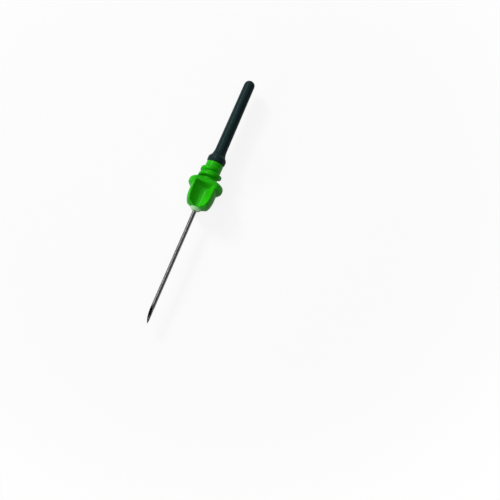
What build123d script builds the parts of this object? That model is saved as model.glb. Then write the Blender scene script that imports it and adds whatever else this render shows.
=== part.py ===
from build123d import *

import os
from math import cos, radians, sin, tan

# A needle for taking blood samples into vacuum tubes, lying on one flat of its hub.
# X runs along the needle to the patient's point, Z is up, and X is zero at the
# flange face that seats against the tube holder. Sizes are in millimetres.

# Cannula: 21 gauge steel tube, ground to a point at both ends
cannula_diameter = 0.82
lumen_diameter = 0.51
front_reach = 31.6
rear_reach = 21.2
bevel_angle = 12
side_bevel_angle = 20
side_bevel_turn = 35
front_bevel_roll = 33
rear_bevel_roll = 0

# Hub: flange, and barrel with a flat above and below
flange_diameter = 7.1
flange_rim = 1.35
flange_slope = 0.85
flange_corner = 1.1
flange_rear_round = 0.8
flange_front_round = 0.7
hub_depth = 4.9
barrel_width = 5.42
barrel_flat_width = 4.5
barrel_length = 3.2
barrel_corner = 0.2

# Hub: nose, which rounds off in front of the barrel and closes in a short cone
nose_length = 2.73
nose_width = 2.6
nose_depth = 3.4
nose_flat_width = 1.2
nose_corner = 0.4
nose_end_diameter = 2.44
nose_cone_angle = 63
nose_edge = 0.35

# Hub: scooped pocket in each flat
rim_strip = 0.85
side_strip = 0.34
pocket_depth = 1.22
pocket_rear_curve = 1.1
pocket_front_width = 1.6
pocket_front_depth = 0.5
pocket_overrun = 0.15

# Hub: neck, and the thread that screws into the holder
neck_diameter = 3.42
neck_length = 4.04
thread_diameter = 4.62
thread_pitch = 1.32
thread_turns = 1.85
thread_front_fade_turns = 0.3
thread_rear_fade_turns = 0.45
thread_gap = 0.44
thread_clock = 300
thread_root_width = 1.28
thread_crest_width = 0.72
thread_crest_round = 0.12

# Hub: barbed spigot that the rubber sleeve is stretched over
spigot_diameter = 2.5
lip_length = 0.85
barb_diameter = 2.84
barb_land = 0.25
barb_cone = 1.3
barb_end_diameter = 1.5

# Adhesive that holds the cannula in the nose
well_diameter = 1.9
well_depth = 1.6
well_floor_diameter = 1.1
glue_margin = 0.03
glue_rise = 0.62
glue_climb = 0.05
glue_bulge_radius = 1.1

# Rubber sleeve over the rear point
sleeve_end_diameter = 2.14
sleeve_root_diameter = 2.34
sleeve_bore = 1.04
sleeve_end_space = 0.95
sleeve_end_wall = 0.62
mouth_diameter = 3.42
bead_diameter = 3.72
bead_lead = 0.45
bead_length = 0.68
flare_diameter = 2.7
flare_step = 0.74
flare_length = 1.0
flare_round = 0.3

# Clearances between pieces
bore_clearance = 0.02
sleeve_clearance = 0.04

cannula_radius = cannula_diameter / 2
flat_height = hub_depth / 2
nose_reach = barrel_length + nose_length
nose_angles = (0, 30, 60, 90)


def turned(*edges):
    """The solid that an outline above the needle's axis sweeps about it."""
    outline = Curve() + list(edges)
    start, end = outline @ 0, outline @ 1
    corners = [end, Vector(end.X, 0), Vector(start.X, 0), start]
    closing = [Line(a, b) for a, b in zip(corners, corners[1:]) if a != b]
    return revolve(make_face(outline + closing), Axis.X)


def hub_face(x, width, depth, flat, corner):
    """A section across the hub: flat above and below, its sides bowed out."""
    w, d, f = width / 2, depth / 2, flat / 2
    outline = [
        Line((-f, d), (f, d)),
        ThreePointArc((f, d), (w, 0), (f, -d)),
        Line((f, -d), (-f, -d)),
        ThreePointArc((-f, -d), (-w, 0), (-f, d)),
    ]
    face = make_face(Curve() + outline)
    return Plane.YZ.offset(x) * fillet(face.vertices(), corner)


def grind(tube, x_tip, sense, roll):
    """Grinds a lancet point on one end of the tube: a long bevel and two side bevels."""
    tip = Vector(x_tip, 0, 0) - Vector(0, 0, cannula_radius).rotate(Axis.X, roll)
    reach = 2 * (front_reach + rear_reach)
    wheel = Box(reach, reach, reach, align=(Align.CENTER, Align.CENTER, Align.MIN))
    bevels = [
        (bevel_angle, 0),
        (side_bevel_angle, side_bevel_turn),
        (side_bevel_angle, -side_bevel_turn),
    ]
    for angle, turn in bevels:
        facing = Vector(0, 0, 1).rotate(Axis.Y, sense * angle).rotate(Axis.X, roll + turn)
        tube = tube - Plane(origin=tip, z_dir=facing) * wheel
    return tube


def make_cannula():
    """The steel tube, from the rear point inside the sleeve to the patient's point."""
    ring = Circle(cannula_radius) - Circle(lumen_diameter / 2)
    tube = extrude(Plane.YZ.offset(-rear_reach) * ring, rear_reach + front_reach)
    tube = grind(tube, front_reach, 1, front_bevel_roll)
    return grind(tube, -rear_reach, -1, rear_bevel_roll)


def envelope():
    """The turned outline round the flange, barrel and nose, with all its corners rounded."""
    rim_radius = flange_diameter / 2
    nose_end = nose_end_diameter / 2
    cone_length = (rim_radius - nose_end) / tan(radians(nose_cone_angle))
    return turned(
        FilletPolyline(
            (0, neck_diameter / 2),
            (0, rim_radius),
            (nose_reach - cone_length, rim_radius),
            (nose_reach, nose_end),
            radius=[flange_rear_round, nose_edge],
        )
    )


def make_flange():
    """The round flange, cut flat above and below, that slopes down to the barrel."""
    rim_radius = flange_diameter / 2
    disc = turned(
        FilletPolyline(
            (0, neck_diameter / 2),
            (0, rim_radius),
            (flange_rim, rim_radius),
            (flange_rim + flange_slope, rim_radius - flange_slope),
            radius=[flange_rear_round, flange_front_round],
        )
    )
    outline = Circle(rim_radius) & Rectangle(2 * flange_diameter, hub_depth)
    outline = fillet(outline.vertices(), flange_corner)
    return extrude(Plane.YZ * outline, flange_rim + flange_slope) & disc


def on_nose(angle, barrel_size, nose_size):
    """A size on the nose, which rounds off from the barrel's by the angle on an ellipse."""
    return nose_size + (barrel_size - nose_size) * cos(radians(angle))


def nose_x(angle, overrun=0):
    """Where that angle lies along the nose, from 0 at the barrel to 90 at the nose's end."""
    return barrel_length + (nose_length + overrun) * sin(radians(angle))


def make_barrel():
    """The barrel and the nose, whose tapering end is turned to a short cone."""
    sizes = [
        (barrel_width, nose_width),
        (hub_depth, nose_depth),
        (barrel_flat_width, nose_flat_width),
        (barrel_corner, nose_corner),
    ]
    full = [at_barrel for at_barrel, at_nose in sizes]
    prism = extrude(hub_face(0, *full), barrel_length)
    nose = loft([hub_face(nose_x(a), *(on_nose(a, *pair) for pair in sizes)) for a in nose_angles])
    between_flats = Box(4 * nose_reach, 4 * flange_diameter, hub_depth)
    return (prism + nose) & envelope() & between_flats


def pocket_face(x, angle, depth):
    """A section of the pocket's cutter: a round scoop below, open above."""
    rim, above = on_nose(angle, hub_depth, nose_depth) / 2, hub_depth
    half_width = on_nose(angle, barrel_flat_width - 2 * side_strip, pocket_front_width) / 2
    outline = [
        ThreePointArc((-half_width, rim), (0, rim - depth), (half_width, rim)),
        Polyline((half_width, rim), (half_width, above), (-half_width, above), (-half_width, rim)),
    ]
    return Plane.YZ.offset(x) * make_face(Curve() + outline)


def make_pocket():
    """The scoop in a flat: steep below the flange's rim, and open at the nose's end."""
    faces = []
    for angle in (2, 45, 90):
        x = rim_strip + pocket_rear_curve * (1 - cos(radians(angle)))
        faces.append(pocket_face(x, 0, pocket_depth * sin(radians(angle))))
    for angle in nose_angles:
        depth = on_nose(angle, pocket_depth, pocket_front_depth)
        faces.append(pocket_face(nose_x(angle, pocket_overrun), angle, depth))
    return loft(faces)


def thread_face(turn):
    """A section of the thread's ridge, a number of turns back from its front end."""
    left = thread_turns - turn
    rise = min(1, turn / thread_front_fade_turns, left / thread_rear_fade_turns)
    sunk = neck_diameter / 2 - thread_crest_round
    crest = sunk + rise * (thread_diameter / 2 - sunk)
    shoulder = crest - thread_crest_round
    foot = sunk - 2 * thread_crest_round
    half = [
        (foot, thread_root_width / 2),
        (shoulder, thread_crest_width / 2),
        (crest, thread_crest_width / 2 - thread_crest_round),
    ]
    outline = Polyline(*half, *[(r, -x) for r, x in reversed(half)], close=True)
    face = Plane.XZ * make_face(outline)
    place = Pos(0, 0, -thread_gap - turn * thread_pitch) * Rot(0, 0, thread_clock - 360 * turn)
    return Plane.YZ * place * face


def make_thread():
    """The right-hand ridge round the neck, which rises out of it and sinks back."""
    steps = round(thread_turns * 12)
    return loft([thread_face(thread_turns * n / steps) for n in range(steps + 1)])


def make_spigot():
    """The neck, and behind it the spigot with a barb that the sleeve snaps over."""
    lip = neck_length + lip_length
    cone = lip + barb_land
    return turned(
        Polyline(
            (flange_rim, neck_diameter / 2),
            (-neck_length, neck_diameter / 2),
            (-neck_length, spigot_diameter / 2),
            (-lip, spigot_diameter / 2),
            (-lip, barb_diameter / 2),
            (-cone, barb_diameter / 2),
            (-cone - barb_cone, barb_end_diameter / 2),
        )
    )


def well_cone():
    """The tapered well in the nose that the adhesive fills."""
    return turned(
        Line(
            (nose_reach - well_depth, well_floor_diameter / 2), (nose_reach, well_diameter / 2)
        )
    )


def bore(radius):
    """A rod along the needle's axis, for boring the pieces that the cannula passes."""
    return extrude(Plane.YZ * Circle(radius), front_reach, both=True)


def make_hub():
    """The one-piece moulding: flange, barrel, nose, neck, thread and spigot."""
    pocket = make_pocket()
    body = make_flange() + make_barrel() + make_spigot() + make_thread()
    body = body - pocket - mirror(pocket, about=Plane.XY)
    return body - well_cone() - bore(cannula_radius + bore_clearance)


def make_adhesive():
    """The glue in the well, with a low dome that climbs a little up the cannula."""
    edge = (nose_reach, nose_end_diameter / 2 - glue_margin)
    top = (nose_reach + glue_rise, cannula_radius + glue_climb)
    dome = turned(RadiusArc(edge, top, glue_bulge_radius))
    return well_cone() + dome - bore(cannula_radius)


def make_rubber_sleeve():
    """The closed rubber tube, with a bead at its mouth, stretched over the barb."""
    mouth = neck_length + sleeve_clearance
    lip = neck_length + lip_length
    cone = lip + barb_land
    bead = mouth + bead_lead
    step = bead + bead_length
    flare = step + flare_step
    end = rear_reach + sleeve_end_space + sleeve_end_wall
    end_radius = sleeve_end_diameter / 2
    bore_radius = sleeve_bore / 2
    spigot_fit = spigot_diameter / 2 + sleeve_clearance
    barb_fit = barb_diameter / 2 + sleeve_clearance
    barb_end_fit = barb_end_diameter / 2 + sleeve_clearance
    outside = turned(
        FilletPolyline(
            (-mouth, mouth_diameter / 2),
            (-bead, bead_diameter / 2),
            (-step, bead_diameter / 2),
            (-flare, flare_diameter / 2),
            (-flare - flare_length, sleeve_root_diameter / 2),
            (-end + end_radius, end_radius),
            radius=flare_round,
        ),
        RadiusArc((-end + end_radius, end_radius), (-end, 0), -end_radius),
    )
    inside = turned(
        Polyline(
            (0, spigot_fit),
            (-lip + sleeve_clearance, spigot_fit),
            (-lip + sleeve_clearance, barb_fit),
            (-cone - sleeve_clearance, barb_fit),
            (-cone - barb_cone - sleeve_clearance, barb_end_fit),
            (-cone - barb_cone - sleeve_clearance, bore_radius),
            (-end + sleeve_end_wall, bore_radius),
        )
    )
    return outside - inside


nodes = {
    "cannula": make_cannula(),
    "hub": make_hub(),
    "adhesive": make_adhesive(),
    "rubber_sleeve": make_rubber_sleeve(),
}

os.makedirs("parts", exist_ok=True)
for name, shape in nodes.items():
    export_step(shape, f"parts/{name}.step")
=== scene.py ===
from math import atan2, cos, hypot, pi, radians, sin

import bmesh
import bpy
from mathutils import Matrix, Vector


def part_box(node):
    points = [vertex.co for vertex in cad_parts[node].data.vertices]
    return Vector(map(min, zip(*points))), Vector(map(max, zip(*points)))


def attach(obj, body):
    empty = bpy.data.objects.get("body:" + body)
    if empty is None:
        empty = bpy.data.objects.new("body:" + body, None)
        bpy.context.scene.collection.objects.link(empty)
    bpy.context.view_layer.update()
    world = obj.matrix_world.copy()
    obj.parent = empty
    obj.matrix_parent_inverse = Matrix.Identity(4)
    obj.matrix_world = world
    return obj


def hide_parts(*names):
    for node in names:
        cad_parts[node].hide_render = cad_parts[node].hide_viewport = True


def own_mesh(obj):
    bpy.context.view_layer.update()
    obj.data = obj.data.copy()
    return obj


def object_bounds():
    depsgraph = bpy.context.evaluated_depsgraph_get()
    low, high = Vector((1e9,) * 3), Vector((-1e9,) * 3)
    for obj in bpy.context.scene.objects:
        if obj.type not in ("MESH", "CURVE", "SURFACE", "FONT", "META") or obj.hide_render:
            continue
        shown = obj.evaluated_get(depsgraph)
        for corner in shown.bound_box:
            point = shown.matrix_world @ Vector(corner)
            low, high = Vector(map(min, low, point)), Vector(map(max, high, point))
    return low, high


# A blood collection needle that lies on a pale table: steel cannula, green moulded hub,
# dab of adhesive and dark rubber sleeve. X runs towards the patient's point, Z is up.

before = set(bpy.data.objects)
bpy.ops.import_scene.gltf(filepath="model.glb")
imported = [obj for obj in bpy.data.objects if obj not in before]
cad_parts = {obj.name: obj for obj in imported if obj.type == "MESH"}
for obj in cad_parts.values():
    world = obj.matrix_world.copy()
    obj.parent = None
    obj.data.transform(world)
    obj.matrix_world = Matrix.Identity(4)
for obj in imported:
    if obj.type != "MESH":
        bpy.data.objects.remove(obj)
cad_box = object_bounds()

MM = 0.001
AXIS = Vector((1, 0, 0))

# The photograph: 500 pixels square, and where the flange's seat on the axis lies in it
PICTURE_PX = 500
PIXEL = 0.1975 * MM
SEAT_PX = Vector((207.39, 181.9))
CAMERA_TURN = radians(22.4)
CAMERA_RISE = radians(71.6)
CAMERA_DISTANCE = 2000 * MM


def make_camera():
    """Looks down on the needle from the side of its point, with a long lens."""
    towards = Vector(
        (cos(CAMERA_RISE) * cos(CAMERA_TURN), cos(CAMERA_RISE) * sin(CAMERA_TURN), sin(CAMERA_RISE))
    )
    right = Vector((-sin(CAMERA_TURN), cos(CAMERA_TURN), 0))
    up = towards.cross(right)
    middle = Vector((PICTURE_PX / 2, PICTURE_PX / 2))
    offset = (middle - SEAT_PX) * PIXEL
    target = right * offset.x - up * offset.y
    data = bpy.data.cameras.new("camera")
    data.lens = data.sensor_width * CAMERA_DISTANCE / (PICTURE_PX * PIXEL)
    data.clip_start = MM
    camera = bpy.data.objects.new("camera", data)
    turn = Matrix((right, up, towards)).transposed().to_4x4()
    camera.matrix_world = Matrix.Translation(target + towards * CAMERA_DISTANCE) @ turn
    bpy.context.collection.objects.link(camera)
    bpy.context.scene.camera = camera


def add_node(tree, kind, **settings):
    """A node of one kind; settings name its properties."""
    node = tree.nodes.new(kind)
    for name, value in settings.items():
        setattr(node, name, value)
    return node


def link(tree, output, socket):
    """Joins an output to an input socket."""
    tree.links.new(output, socket)


def feed(tree, value, socket):
    """Gives an input socket a number, a colour or another node's output."""
    if isinstance(value, bpy.types.NodeSocket):
        link(tree, value, socket)
    elif isinstance(value, tuple):
        socket.default_value = (*value, 1)
    else:
        socket.default_value = value


def calculate(tree, operation, *values):
    """The result of a Math node, whose values are numbers or outputs."""
    node = add_node(tree, "ShaderNodeMath", operation=operation)
    for value, socket in zip(values, node.inputs):
        feed(tree, value, socket)
    return node.outputs[0]


def mix_colors(tree, factor, first, second):
    """A colour that goes from the first to the second as the factor goes from 0 to 1."""
    mix = add_node(tree, "ShaderNodeMix", data_type="RGBA")
    for value, socket in zip((factor, first, second), (mix.inputs[0], mix.inputs[6], mix.inputs[7])):
        feed(tree, value, socket)
    return mix.outputs[2]


def ramp(tree, source, span, low, high, **settings):
    """Goes from low to high as the source crosses a span, and stays level beyond it."""
    node = add_node(tree, "ShaderNodeMapRange", **settings)
    sockets = ("Value", "From Min", "From Max", "To Min", "To Max")
    for name, value in zip(sockets, (source, *span, low, high)):
        feed(tree, value, node.inputs[name])
    return node.outputs[0]


def smooth_ramp(tree, source, span, low, high):
    """A ramp with soft ends."""
    return ramp(tree, source, span, low, high, interpolation_type="SMOOTHSTEP")


def background_rays(tree, in_gloss=1.0):
    """One for rays from the camera and through clear things, in_gloss off gloss, else zero."""
    path = add_node(tree, "ShaderNodeLightPath").outputs
    glossy = calculate(tree, "MULTIPLY", path["Is Glossy Ray"], in_gloss)
    seen = calculate(tree, "MAXIMUM", glossy, path["Is Camera Ray"])
    return calculate(tree, "MAXIMUM", seen, path["Is Transmission Ray"])


# The world, as a strength that depends on a direction's Y or Z
FILL_STRENGTH = 0.15
BACKDROP_WHITE = 1.0
WALLS_Z = (0, 0.06)
CEILING_Z = (0.35, 0.75)
CEILING_DARK = 0.045
CEILING_LIGHT = 0.5
LIGHT_TO_DARK_Y = (-0.45, 0.35)


def light_world():
    """An even fill, and a studio to be seen: white walls, a ceiling dark towards the right."""
    world = bpy.data.worlds.new("studio")
    world.use_nodes = True
    tree = world.node_tree
    place = add_node(tree, "ShaderNodeTexCoord")
    direction = add_node(tree, "ShaderNodeSeparateXYZ")
    link(tree, place.outputs["Generated"], direction.inputs[0])
    sideways = smooth_ramp(tree, direction.outputs["Y"], LIGHT_TO_DARK_Y, CEILING_LIGHT, CEILING_DARK)
    ceiling = smooth_ramp(tree, direction.outputs["Z"], CEILING_Z, CEILING_DARK, sideways)
    studio = smooth_ramp(tree, direction.outputs["Z"], WALLS_Z, BACKDROP_WHITE, ceiling)
    strength = add_node(tree, "ShaderNodeMix", data_type="FLOAT")
    link(tree, background_rays(tree), strength.inputs[0])
    strength.inputs[2].default_value = FILL_STRENGTH
    link(tree, studio, strength.inputs[3])
    background = tree.nodes["Background"]
    background.inputs["Color"].default_value = (1, 1, 1, 1)
    link(tree, strength.outputs[0], background.inputs["Strength"])
    bpy.context.scene.world = world


LAMP_DISTANCE = 0.6


def add_lamp(name, direction, size, power, seen_in_gloss=True):
    """A square soft lamp that shines on the hub from a direction."""
    data = bpy.data.lights.new(name, "AREA")
    data.size = size
    data.energy = power
    lamp = bpy.data.objects.new(name, data)
    lamp.visible_glossy = seen_in_gloss
    lamp.location = Vector(direction).normalized() * LAMP_DISTANCE
    lamp.rotation_euler = lamp.location.to_track_quat("Z", "Y").to_euler()
    bpy.context.collection.objects.link(lamp)


def make_lamps():
    """A low key and a soft box on the sleeve's left, and soft lamps above and in front."""
    add_lamp("key", (-0.46, -0.73, 0.5), size=0.1, power=1.9, seen_in_gloss=False)
    add_lamp("soft_box", (-0.42, -0.6, 0.68), size=0.15, power=0.5)
    add_lamp("overhead", (-0.2, 0.25, 0.95), size=0.4, power=0.6, seen_in_gloss=False)
    add_lamp("front", (0.7, -0.66, 0.22), size=0.25, power=1.65, seen_in_gloss=False)


FLOOR_RADIUS = 3.0
FLOOR_BOUNCE = (0.35, 0.35, 0.35)
FLOOR_SEEN = (1.0, 1.0, 1.0)
FLOOR_IN_GLOSS = 0.2
SHADOW_SHARE = 0.14
SHADOW_FADE = (36 * MM, 90 * MM)


def pale_table():
    """Grey to the light that it bounces, white to look at, and shadowed near the needle."""
    material = bpy.data.materials.new("table_top")
    material.use_nodes = True
    tree = material.node_tree
    tree.nodes.remove(tree.nodes["Principled BSDF"])
    seen = background_rays(tree, in_gloss=FLOOR_IN_GLOSS)
    matte = add_node(tree, "ShaderNodeBsdfDiffuse")
    link(tree, mix_colors(tree, seen, FLOOR_BOUNCE, FLOOR_SEEN), matte.inputs["Color"])
    glow = add_node(tree, "ShaderNodeEmission")
    glow.inputs["Color"].default_value = (1, 1, 1, 1)
    place = add_node(tree, "ShaderNodeTexCoord")
    distance = add_node(tree, "ShaderNodeVectorMath", operation="LENGTH")
    link(tree, place.outputs["Object"], distance.inputs[0])
    glow_share = smooth_ramp(tree, distance.outputs["Value"], SHADOW_FADE, 1 - SHADOW_SHARE, 1)
    blend = add_node(tree, "ShaderNodeMixShader")
    link(tree, calculate(tree, "MULTIPLY", seen, glow_share), blend.inputs[0])
    link(tree, matte.outputs[0], blend.inputs[1])
    link(tree, glow.outputs[0], blend.inputs[2])
    link(tree, blend.outputs[0], tree.nodes["Material Output"].inputs["Surface"])
    return material


def make_floor():
    """A round table top under the lowest point of the needle."""
    bm = bmesh.new()
    bmesh.ops.create_circle(bm, cap_ends=True, segments=64, radius=FLOOR_RADIUS)
    bmesh.ops.translate(bm, vec=(0, 0, cad_box[0][2]), verts=bm.verts)
    floor = new_piece("floor", bm)
    floor.data.materials.append(pale_table())


def new_piece(name, bm, smooth_angle=None):
    """An object at the origin from a bmesh, which is freed."""
    mesh = bpy.data.meshes.new(name)
    bm.to_mesh(mesh)
    bm.free()
    if smooth_angle is not None:
        mesh.shade_smooth()
        mesh.set_sharp_from_angle(angle=smooth_angle)
    piece = bpy.data.objects.new(name, mesh)
    bpy.context.collection.objects.link(piece)
    return piece


def apply_modifiers(piece):
    """Puts what the piece's modifiers make into its mesh."""
    graph = bpy.context.evaluated_depsgraph_get()
    mesh = bpy.data.meshes.new_from_object(piece.evaluated_get(graph))
    piece.modifiers.clear()
    piece.data = mesh


def principled(name, **values):
    """A new material, its node tree and its shader, whose sockets take the values."""
    material = bpy.data.materials.new(name)
    material.use_nodes = True
    tree = material.node_tree
    shader = tree.nodes["Principled BSDF"]
    for socket, value in values.items():
        shader.inputs[socket.replace("_", " ")].default_value = value
    return material, tree, shader


def object_noise(tree, size, detail=3.0, stretch=(1, 1, 1)):
    """Noise whose lumps are about one size, on the piece's own coordinates."""
    place = add_node(tree, "ShaderNodeTexCoord")
    scale = add_node(tree, "ShaderNodeMapping")
    scale.inputs["Scale"].default_value = [s / size for s in stretch]
    texture = add_node(tree, "ShaderNodeTexNoise")
    texture.inputs["Scale"].default_value = 1.0
    texture.inputs["Detail"].default_value = detail
    link(tree, place.outputs["Object"], scale.inputs["Vector"])
    link(tree, scale.outputs[0], texture.inputs["Vector"])
    return texture.outputs["Fac"]


NOISE_SPAN = (0.3, 0.7)


def spread(tree, source, low, high):
    """A value between low and high that follows a noise."""
    return ramp(tree, source, NOISE_SPAN, low, high)


def two_tone(tree, source, first, second):
    """A colour between two that follows a noise."""
    return mix_colors(tree, spread(tree, source, 0, 1), first, second)


def add_bump(tree, shader, source, height):
    """Raises the surface by a height where the source is one."""
    bump = add_node(tree, "ShaderNodeBump")
    bump.inputs["Strength"].default_value = 1.0
    bump.inputs["Distance"].default_value = height
    link(tree, source, bump.inputs["Height"])
    link(tree, bump.outputs[0], shader.inputs["Normal"])


def green_plastic():
    """Glossy moulded plastic that lets a little light in."""
    material, tree, shader = principled(
        "green_plastic",
        Subsurface_Weight=0.1,
        Subsurface_Radius=(0.3, 1.0, 0.2),
        Subsurface_Scale=0.3 * MM,
        IOR=1.49,
        Specular_IOR_Level=0.17,
    )
    deep_green = (0.014, 0.45, 0.002)
    light_green = (0.023, 0.54, 0.004)
    cloud = object_noise(tree, 2.2 * MM)
    link(tree, two_tone(tree, cloud, deep_green, light_green), shader.inputs["Base Color"])
    link(tree, spread(tree, object_noise(tree, 0.6 * MM), 0.15, 0.25), shader.inputs["Roughness"])
    add_bump(tree, shader, object_noise(tree, 0.25 * MM), 0.003 * MM)
    return material


def dark_rubber():
    """Matt rubber, nearly black, with a faint bloom."""
    material, tree, shader = principled("dark_rubber", IOR=1.5, Specular_IOR_Level=0.15)
    near_black = (0.009, 0.025, 0.026)
    bloom = (0.011, 0.03, 0.032)
    cloud = object_noise(tree, 0.9 * MM, stretch=(0.35, 1, 1))
    link(tree, two_tone(tree, cloud, near_black, bloom), shader.inputs["Base Color"])
    link(tree, spread(tree, object_noise(tree, 0.4 * MM), 0.28, 0.36), shader.inputs["Roughness"])
    add_bump(tree, shader, object_noise(tree, 0.12 * MM, detail=5.0), 0.004 * MM)
    return material


# The steel: its twisted lay, and painted shade that darkens the bore, which pales towards the
# patient's point
LAY_STARTS = 8
LAY_SPACING = 2 * MM
LINES_SHARE = 0.35
# Painted shade in the bore: where it ends outwards, and where it pales near the point
BORE_SHADE_EDGE_RADIUS = (0.33 * MM, 0.38 * MM)
BORE_SHADE_PALING_X = (29.6 * MM, 30.6 * MM)
BORE_SHADE_PALE_SHARE = 0.5


def twisted_lay(tree, position):
    """A wave from 0 to 1, whose crests wind round the tube side by side."""
    turn = calculate(tree, "ARCTAN2", position["Y"], position["Z"])
    turns = calculate(tree, "MULTIPLY", turn, LAY_STARTS)
    phase = calculate(tree, "MULTIPLY_ADD", position["X"], 2 * pi / LAY_SPACING, turns)
    wave = calculate(tree, "SINE", phase)
    return calculate(tree, "MULTIPLY_ADD", wave, 0.5, 0.5)


def bore_shade_mix(tree, place, position):
    """Where the bore's painted shade lies: zero in the bore, a little more near the patient's point,
    and one outside.
    """
    across = add_node(tree, "ShaderNodeVectorMath", operation="MULTIPLY")
    across.inputs[1].default_value = (0, 1, 1)
    link(tree, place, across.inputs[0])
    radius = add_node(tree, "ShaderNodeVectorMath", operation="LENGTH")
    link(tree, across.outputs[0], radius.inputs[0])
    shade_paling = smooth_ramp(tree, position["X"], BORE_SHADE_PALING_X, 0, BORE_SHADE_PALE_SHARE)
    return smooth_ramp(tree, radius.outputs["Value"], BORE_SHADE_EDGE_RADIUS, shade_paling, 1)


def ground_steel():
    """Steel tube with the fine twisted lay that grinding leaves, and painted shade that darkens the
    bore.
    """
    material, tree, shader = principled("ground_steel", Metallic=1.0)
    hollow = (0.34, 0.345, 0.34)
    crest = (0.46, 0.465, 0.46)
    # Painted shade: a near-black colour put in the bore for the shade inside it
    bore = (0.02, 0.02, 0.02)
    place = add_node(tree, "ShaderNodeTexCoord").outputs["Object"]
    split = add_node(tree, "ShaderNodeSeparateXYZ")
    link(tree, place, split.inputs[0])
    lay = twisted_lay(tree, split.outputs)
    lines = object_noise(tree, 0.06 * MM, stretch=(0.02, 1, 1))
    texture = calculate(tree, "MULTIPLY_ADD", lines, LINES_SHARE, lay)
    outside = two_tone(tree, lay, hollow, crest)
    shade_mix = bore_shade_mix(tree, place, split.outputs)
    link(tree, mix_colors(tree, shade_mix, bore, outside), shader.inputs["Base Color"])
    link(tree, spread(tree, texture, 0.3, 0.42), shader.inputs["Roughness"])
    add_bump(tree, shader, texture, 0.0004 * MM)
    return material


def clear_adhesive():
    """Cured resin, pale and glassy, with the green light of the hub round it painted into its colour.
    """
    material, tree, shader = principled(
        "clear_adhesive",
        Transmission_Weight=0.02,
        Subsurface_Weight=0.3,
        Subsurface_Radius=(1.0, 1.0, 1.0),
        Subsurface_Scale=0.4 * MM,
        IOR=1.5,
    )
    # Both colours are pale, with painted green light from the hub round the resin
    painted_hub_green = (0.45, 1.0, 0.43)
    paler_painted_hub_green = (0.56, 1.0, 0.54)
    cloud = object_noise(tree, 0.5 * MM)
    link(tree, two_tone(tree, cloud, painted_hub_green, paler_painted_hub_green), shader.inputs["Base Color"])
    link(tree, spread(tree, cloud, 0.08, 0.2), shader.inputs["Roughness"])
    add_bump(tree, shader, object_noise(tree, 0.3 * MM), 0.01 * MM)
    return material


def paint(piece, material):
    """Gives a piece its one material."""
    piece.data.materials.clear()
    piece.data.materials.append(material)


def dress(piece, body, material):
    """Gives a piece its material and its body."""
    paint(piece, material)
    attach(piece, body)


MERGE_DISTANCE = 0.0005 * MM


def merged_copy(node):
    """A bmesh of a node's solid, its loose triangles joined."""
    bm = bmesh.new()
    bm.from_mesh(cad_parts[node].data)
    bmesh.ops.remove_doubles(bm, verts=bm.verts, dist=MERGE_DISTANCE)
    return bm


HUB_GRAIN = 0.063 * MM
HUB_SOFTENING = 2
ALONG_ALL_AXES = {"use_axis_x": True, "use_axis_y": True, "use_axis_z": True}


def make_hub_moulding():
    """The hub with its edges softened, as they leave the mould."""
    piece = new_piece("hub_moulding", merged_copy("hub"))
    remesh = piece.modifiers.new("even", "REMESH")
    remesh.mode = "VOXEL"
    remesh.voxel_size = HUB_GRAIN
    apply_modifiers(piece)
    bm = bmesh.new()
    bm.from_mesh(piece.data)
    for _ in range(HUB_SOFTENING):
        bmesh.ops.smooth_vert(bm, verts=bm.verts, factor=0.5, **ALONG_ALL_AXES)
    bm.to_mesh(piece.data)
    bm.free()
    piece.data.shade_smooth()
    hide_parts("hub")
    return piece


# The sleeve, from its mouth at the neck back to its closed end, whose places, radii and
# ripples are in millimetres
SLEEVE_BORE = 0.52
MOUTH_RADIUS = 1.67
SPIGOT_FIT = 1.29
BARB_STEP = -4.85
BARB_EDGE = -5.18
BARB_RADIUS = 1.46
SPIGOT_END = -6.48
SPIGOT_END_RADIUS = 0.79
SEAM = -7.6
SEAM_RADIUS = 1.165
END_RADIUS = 1.07
END_WALL = 0.62
RIPPLE_LENGTH = 1.25
RIPPLE_HEIGHT = 0.004
RIPPLE_FADE = 1 / 6
SLEEVE_STEPS = 56
TUBE_RINGS = 108
SPUN_MERGE_DISTANCE = 0.001 * MM


def place_on_ring(point):
    """A number that grows along the axis, then with the radius, then round the axis."""
    along = round(point.x / MM * 1000)
    out = round(hypot(point.y, point.z) / MM * 1000)
    return along * 1e6 + out * 10 + atan2(point.y, point.z)


def spun(name, outline):
    """A piece turned about the needle's axis from an outline of (x, radius) in millimetres."""
    bm = bmesh.new()
    verts = [bm.verts.new((x * MM, 0, r * MM)) for x, r in outline]
    edges = [bm.edges.new(pair) for pair in zip(verts, verts[1:])]
    if outline[0][1] > 0:
        edges.append(bm.edges.new((verts[-1], verts[0])))
    bmesh.ops.spin(
        bm,
        geom=verts + edges,
        cent=(0, 0, 0),
        axis=AXIS,
        angle=2 * pi,
        steps=SLEEVE_STEPS,
        use_merge=True,
    )
    bmesh.ops.remove_doubles(bm, verts=bm.verts, dist=SPUN_MERGE_DISTANCE)
    bmesh.ops.recalc_face_normals(bm, faces=bm.faces)
    # A spin leaves its points and faces in another order each time that it runs
    bm.verts.sort(key=lambda vert: place_on_ring(vert.co))
    bm.faces.sort(key=lambda face: place_on_ring(face.calc_center_median()))
    return new_piece(name, bm, smooth_angle=radians(50))


def curve_through(points, per_span=6):
    """Points on a smooth curve through a few (x, radius) points."""
    out = []
    last = len(points) - 1
    for n in range(last):
        p0, p1, p2, p3 = (Vector(points[min(max(n + k, 0), last)]) for k in (-1, 0, 1, 2))
        linear = p2 - p0
        square = 2 * p0 - 5 * p1 + 4 * p2 - p3
        cube = 3 * p1 - p0 - 3 * p2 + p3
        for step in range(per_span):
            t = step / per_span
            out.append(tuple(p1 + 0.5 * (linear * t + square * t**2 + cube * t**3)))
    out.append(tuple(points[-1]))
    return out


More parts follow.
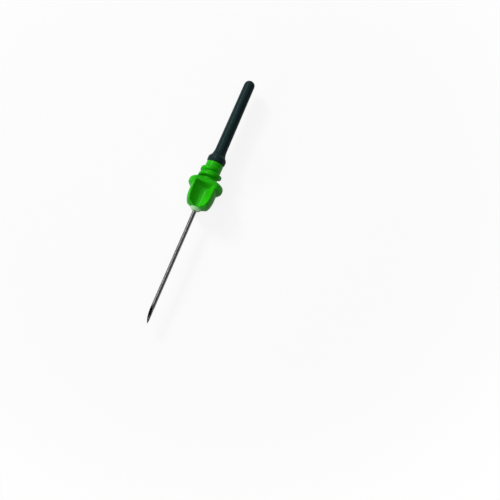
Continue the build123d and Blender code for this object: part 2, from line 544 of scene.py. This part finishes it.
def make_sleeve_cuff():
    """The beaded mouth that grips the barb, and the flare in front of the tube."""
    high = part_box("rubber_sleeve")[1]
    mouth = high[0] / MM
    bead = high[2] / MM
    outside = curve_through(
        [
            (mouth, MOUTH_RADIUS),
            (mouth - 0.12, bead - 0.09),
            (mouth - 0.4, bead - 0.01),
            (mouth - 0.75, bead),
            (mouth - 1.08, bead - 0.03),
            (mouth - 1.3, bead - 0.16),
            (mouth - 1.52, bead - 0.33),
            (mouth - 1.85, bead - 0.49),
            (mouth - 2.3, bead - 0.6),
            (mouth - 2.87, bead - 0.685),
            (SEAM, SEAM_RADIUS),
        ]
    )
    inside = [
        (SEAM, SLEEVE_BORE),
        (SPIGOT_END, SLEEVE_BORE),
        (SPIGOT_END, SPIGOT_END_RADIUS),
        (BARB_EDGE, BARB_RADIUS),
        (BARB_STEP, BARB_RADIUS),
        (BARB_STEP, SPIGOT_FIT),
        (mouth, SPIGOT_FIT),
    ]
    return spun("sleeve_cuff", outside + inside)


def make_sleeve_tube():
    """The tube over the rear point, faintly rippled, closed by a dome."""
    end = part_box("rubber_sleeve")[0][0] / MM
    dome = end + END_RADIUS
    outside = []
    for n in range(TUBE_RINGS + 1):
        along = n / TUBE_RINGS
        x = SEAM + (dome - SEAM) * along
        radius = SEAM_RADIUS + (END_RADIUS - SEAM_RADIUS) * along
        fade = min(1, along / RIPPLE_FADE, (1 - along) / RIPPLE_FADE)
        ripple = RIPPLE_HEIGHT * fade * (cos(2 * pi * (x - SEAM) / RIPPLE_LENGTH) - 1)
        outside.append((x, radius + ripple))
    for angle in range(10, 90, 10):
        outside.append((dome - END_RADIUS * sin(radians(angle)), END_RADIUS * cos(radians(angle))))
    outside.append((end, 0))
    bore_end = end + END_WALL
    bore = [(bore_end, 0), (bore_end, SLEEVE_BORE)]
    return spun("sleeve_tube", [(SEAM, SLEEVE_BORE)] + outside + bore)


def make_sleeve():
    """The rubber sleeve in two pieces: a cuff, and a tube with a mesh of its own."""
    rubber = dark_rubber()
    cuff = make_sleeve_cuff()
    tube = make_sleeve_tube()
    for piece in (cuff, tube):
        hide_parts("rubber_sleeve")
        dress(piece, "needle", rubber)
    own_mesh(tube)


def main():
    """Makes the camera, the studio and every piece."""
    bpy.context.scene.view_settings.view_transform = "Standard"
    make_camera()
    light_world()
    make_lamps()
    make_floor()
    dress(make_hub_moulding(), "needle", green_plastic())
    make_sleeve()
    paint(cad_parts["cannula"], ground_steel())
    paint(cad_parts["adhesive"], clear_adhesive())


main()
